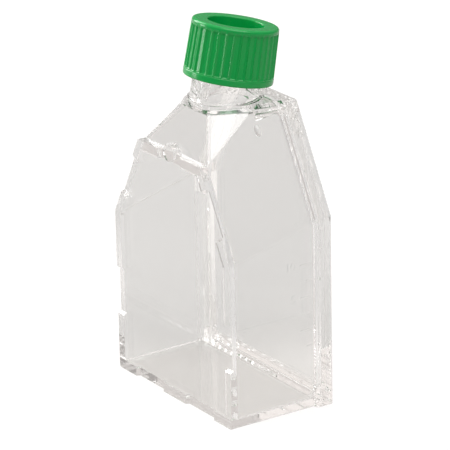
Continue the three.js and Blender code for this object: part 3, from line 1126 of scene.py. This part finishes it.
cap = {
    "height": 13.8,
    "topRadius": 10.55,
    "baseRadius": 10.95,
    "topThickness": 1.5,
    "edgeRadius": 0.7,
    "wall": 1.35,
    "beadHeight": 1.7,
    "recessRadius": 6.8,
    "recessDepth": 7.4,
    "recessDraft": 0.5,
    "plugWall": 0.9,
    "plugClearance": 0.2,
    "seatClearance": 0.3,
    "ribFootGap": 0.1,
    "ribHeadGap": 0.5,
    "columnsPerRib": 12,
    "rowSpacing": 0.35,
    "beadSteps": 3,
    "edgeSteps": 8,
    "sharpAngle": 35,
    "ribs": {"Ribs": 36, "Depth": 0.36, "Crest": 0.12, "Flank": 0.6, "Fade": 0.35},
}


# From the tip of the plug out to the skirt, up it, and over the rim into the recess
def capOutline(base, top, ribFoot, ribHead):
    lip = cap["edgeRadius"] / 2
    plugRadius = neckBore - cap["plugClearance"]
    recessFloor = top - cap["recessDepth"]
    plugTip = recessFloor - cap["plugWall"]
    under = top - cap["topThickness"]
    bore = cap["baseRadius"] - cap["wall"]
    bead = cap["baseRadius"] - lip
    slope = (cap["topRadius"] - cap["baseRadius"]) / cap["height"]
    rows = math.ceil((ribHead - ribFoot) / cap["rowSpacing"])
    heights = [ribFoot + (ribHead - ribFoot) * i / rows for i in range(rows + 1)]
    recess = cap["recessRadius"]
    outline = [(0, plugTip)]
    outline += arcOf(plugRadius - cap["recessDraft"] - lip, plugTip + lip, lip, -quarterTurn, 0)
    outline += [(plugRadius, under - cap["plugWall"]), (plugRadius, under), (bore, under), (bore, base)]
    outline += arcOf(bead, base + lip, lip, -quarterTurn, 0)
    outline += arcOf(bead, base + cap["beadHeight"] - lip, lip, 0, quarterTurn / 2, cap["beadSteps"])
    outline += [(cap["baseRadius"] + slope * (height - base), height) for height in heights]
    edge = cap["edgeRadius"]
    outline += arcOf(cap["topRadius"] - edge, top - edge, edge, 0, quarterTurn, cap["edgeSteps"])
    outline += arcOf(recess + lip, top - lip, lip, quarterTurn, 2 * quarterTurn)
    outline += arcOf(recess - cap["recessDraft"] - lip, recessFloor + lip, lip, 0, -quarterTurn)
    return outline + [(0, recessFloor)]


def screwCap():
    base = neck["height"] + cap["seatClearance"] + cap["topThickness"] - cap["height"]
    top = base + cap["height"]
    ribFoot = base + cap["beadHeight"] + cap["ribFootGap"]
    ribHead = top - cap["edgeRadius"] - cap["ribHeadGap"]
    columns = cap["ribs"]["Ribs"] * cap["columnsPerRib"]
    made = lathed("ribbed_cap", capOutline(base, top, ribFoot, ribHead), columns)
    leastRadius = cap["topRadius"] - cap["edgeRadius"] / 2
    values = cap["ribs"] | {"Foot": ribFoot, "Head": ribHead, "Least Radius": leastRadius}
    grow(made, ribTree(), values, greenMaterial)
    return finishMesh(place(made, neckFrame), 0, cap["sharpAngle"])


def handOver(piece, nodes, bodyName, material):
    piece.data.materials.clear()
    piece.data.materials.append(material)
    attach(piece, bodyName)
    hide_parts(*nodes)
    print(piece.name, "made with", len(piece.data.polygons), "faces")


handOver(weldedFlask(), ("flask_body", "growth_plate", "lid"), "flask", clearMaterial)
handOver(screwCap(), ("screw_cap",), "cap", greenMaterial)

# Studio: a soft room, brightest in front of the growth plate and dimmer towards the other sides. The floor,
# as rays through the plastic see it, carries painted light and shade.
# Each side of a glow has its own direction in degrees, and fades in between two cosines of the angle from it

studio = {
    "floorSize": 6.0,
    "floorGap": 0.05 * mm,
    "floorColour": (0.51, 0.5, 0.49, 1),
    "floorLit": 0.62,
    "floorRoughness": 0.9,
    "paper": (1.0, 1.0, 1.0),
    "throughPlastic": (1.065, 1.0, 0.965),
    # Painted light and shade on the floor, seen only through the plastic: its dimmer sides are painted
    # shade, like the flask's shadow and darker surroundings, and its brighter side is a painted patch of
    # light
    "paintedFloorLightAndShade": {
        "level": 0.81,
        "reach": 0.064,
        "sides": (
            {"azimuth": -73, "elevation": 0, "from": 0.15, "to": 0.7, "extra": 0.15},
            {"azimuth": 60, "elevation": 0, "from": 0.4, "to": 0.75, "extra": -0.45},
            {"azimuth": -137, "elevation": 0, "from": 0.4, "to": 0.6, "extra": -0.28},
            {"azimuth": 150, "elevation": 0, "from": 0.1, "to": 0.4, "extra": -0.19},
        ),
    },
    "roomGlow": {
        "level": 0.62,
        "sides": (
            {"azimuth": -75, "elevation": 20, "from": -0.15, "to": 0.1, "extra": 0.28},
            {"azimuth": 30, "elevation": 10, "from": 0.3, "to": 0.8, "extra": -0.3},
        ),
    },
    "roomLight": {
        "level": 0.18,
        "sides": ({"azimuth": 0, "elevation": 90, "from": 0.0, "to": 1.0, "extra": 0.7},),
    },
    "lampAim": (0, 0, 0.05),
    "softboxes": {
        "overhead": {"spot": (0.46, -0.08, 1.2), "size": (1.1, 1.1), "power": 9.5, "seenThrough": True},
        "left": {"spot": (-0.93, -0.25, 0.55), "size": (0.5, 0.9), "power": 8},
        "low left": {"spot": (-0.63, -0.78, 0.26), "size": (0.28, 0.45), "power": 3},
    },
    "bounces": 256,
}


# How bright the room looks in each direction: a plain level, with broad sides that are brighter or dimmer.
# On the floor this is painted light and shade.
def glow(tree, towards, level, sides):
    total = level
    for side in sides:
        turn = Matrix.Rotation(math.radians(side["azimuth"]), 3, "Z")
        aim = turn @ Matrix.Rotation(-math.radians(side["elevation"]), 3, "Y") @ Vector((1, 0, 0))
        share = addNode(tree, "ShaderNodeVectorMath", {0: towards, 1: aim}, operation="DOT_PRODUCT")
        limits = {"From Min": side["from"], "From Max": side["to"], "To Max": side["extra"]}
        faded = {"Value": share.outputs["Value"]} | limits
        spread = addNode(tree, "ShaderNodeMapRange", faded, interpolation_type="SMOOTHSTEP")
        total = mathNode(tree, "ADD", total, spread)
    return total


def scaled(tree, vector, value):
    return addNode(tree, "ShaderNodeVectorMath", {0: vector, "Scale": value}, operation="SCALE")


# A Mix node has a set of sockets for each kind of value, and these are the ones for colours
mixColours = {"first": 6, "second": 7, "mixed": 2}


# White paper for the camera, the room's glow for rays that have come through the plastic, or else the light.
# On the floor that glow is painted light and shade.
def seenAs(tree, light, plastic, paper):
    path = addNode(tree, "ShaderNodeLightPath").outputs
    seen = light
    for ray, other in (("Is Transmission Ray", plastic), ("Is Camera Ray", paper)):
        colours = {mixColours["first"]: seen, mixColours["second"]: other}
        mix = addNode(tree, "ShaderNodeMix", {"Factor": path[ray]} | colours, data_type="RGBA")
        seen = mix.outputs[mixColours["mixed"]]
    return seen


def floorWithPaintedShade():
    bm = bmesh.new()
    bmesh.ops.create_grid(bm, x_segments=1, y_segments=1, size=studio["floorSize"] / 2)
    bm.transform(Matrix.Translation((0, 0, -studio["floorGap"])))
    floor = makeObject("floor", bm)
    material = bpy.data.materials.new("floor with painted shade")
    material.use_nodes = True
    tree = material.node_tree
    # Rays through the plastic see painted light and shade on the floor, lighter and darker by direction from
    # the flask; the camera sees plain white paper, which keeps the real shadow
    paintedFloor = studio["paintedFloorLightAndShade"]
    spot = addNode(tree, "ShaderNodeTexCoord").outputs["Object"]
    length = addNode(tree, "ShaderNodeVectorMath", {0: spot}, operation="LENGTH").outputs["Value"]
    towards = scaled(tree, spot, mathNode(tree, "DIVIDE", 1.0, mathNode(tree, "ADD", length, paintedFloor["reach"])))
    shown = glow(tree, towards, paintedFloor["level"] - studio["floorLit"], paintedFloor["sides"])
    plastic = scaled(tree, studio["throughPlastic"], mathNode(tree, "MAXIMUM", shown, 0.0))
    paper = [part - studio["floorLit"] for part in studio["paper"]] + [1]
    surface = {
        "Base Color": studio["floorColour"],
        "Roughness": studio["floorRoughness"],
        "Specular IOR Level": 0.0,
        "Emission Color": seenAs(tree, (0, 0, 0, 1), plastic, paper),
        "Emission Strength": 1.0,
    }
    feed(tree, tree.nodes["Principled BSDF"], surface)
    floor.data.materials.append(material)


def paleWorld():
    world = bpy.data.worlds.new("pale world")
    bpy.context.scene.world = world
    world.use_nodes = True
    tree = world.node_tree
    towards = addNode(tree, "ShaderNodeTexCoord").outputs["Generated"]
    light = scaled(tree, (1, 1, 1), glow(tree, towards, **studio["roomLight"]))
    plastic = scaled(tree, studio["throughPlastic"], glow(tree, towards, **studio["roomGlow"]))
    shown = seenAs(tree, light, plastic, (*studio["paper"], 1))
    feed(tree, tree.nodes["Background"], {"Color": shown})


def softbox(name, spot, size, power, seenThrough=False):
    data = bpy.data.lights.new(name, "AREA")
    data.shape = "RECTANGLE"
    data.size, data.size_y = size
    data.energy = power
    lamp = bpy.data.objects.new(name, data)
    lamp.location = spot
    lamp.visible_transmission = seenThrough
    aim = Vector(studio["lampAim"]) - Vector(spot)
    lamp.rotation_euler = aim.to_track_quat("-Z", "Y").to_euler()
    stage.objects.link(lamp)


view = {
    "azimuth": 55.93,
    "elevation": 20.27,
    "roll": -0.996,
    "distance": 0.75925,
    "aim": (0.01441, 0, 0.04059),
    "sensor": 36,
    "lens": 254.08,
    "shift": (-0.0639, 0.0466),
    "clip": (0.01, 20),
}


def addCamera():
    data = bpy.data.cameras.new("camera")
    data.sensor_width = view["sensor"]
    data.lens = view["lens"]
    data.shift_x, data.shift_y = view["shift"]
    data.clip_start, data.clip_end = view["clip"]
    camera = bpy.data.objects.new("camera", data)
    azimuth, elevation = math.radians(view["azimuth"]), math.radians(view["elevation"])
    turn = Matrix.Rotation(azimuth, 4, "Z") @ Matrix.Rotation(quarterTurn - elevation, 4, "X")
    turn = turn @ Matrix.Rotation(math.radians(view["roll"]), 4, "Z")
    back = turn.to_3x3() @ Vector((0, 0, 1))
    camera.matrix_world = Matrix.Translation(Vector(view["aim"]) + back * view["distance"]) @ turn
    stage.objects.link(camera)
    bpy.context.scene.camera = camera


floorWithPaintedShade()
paleWorld()
for name, box in studio["softboxes"].items():
    softbox(name, **box)
addCamera()

scene = bpy.context.scene
scene.view_settings.view_transform = "Standard"
scene.cycles.max_bounces = studio["bounces"]
scene.cycles.transmission_bounces = studio["bounces"]
scene.cycles.glossy_bounces = studio["bounces"]
scene.cycles.transparent_max_bounces = studio["bounces"]
print("studio made")
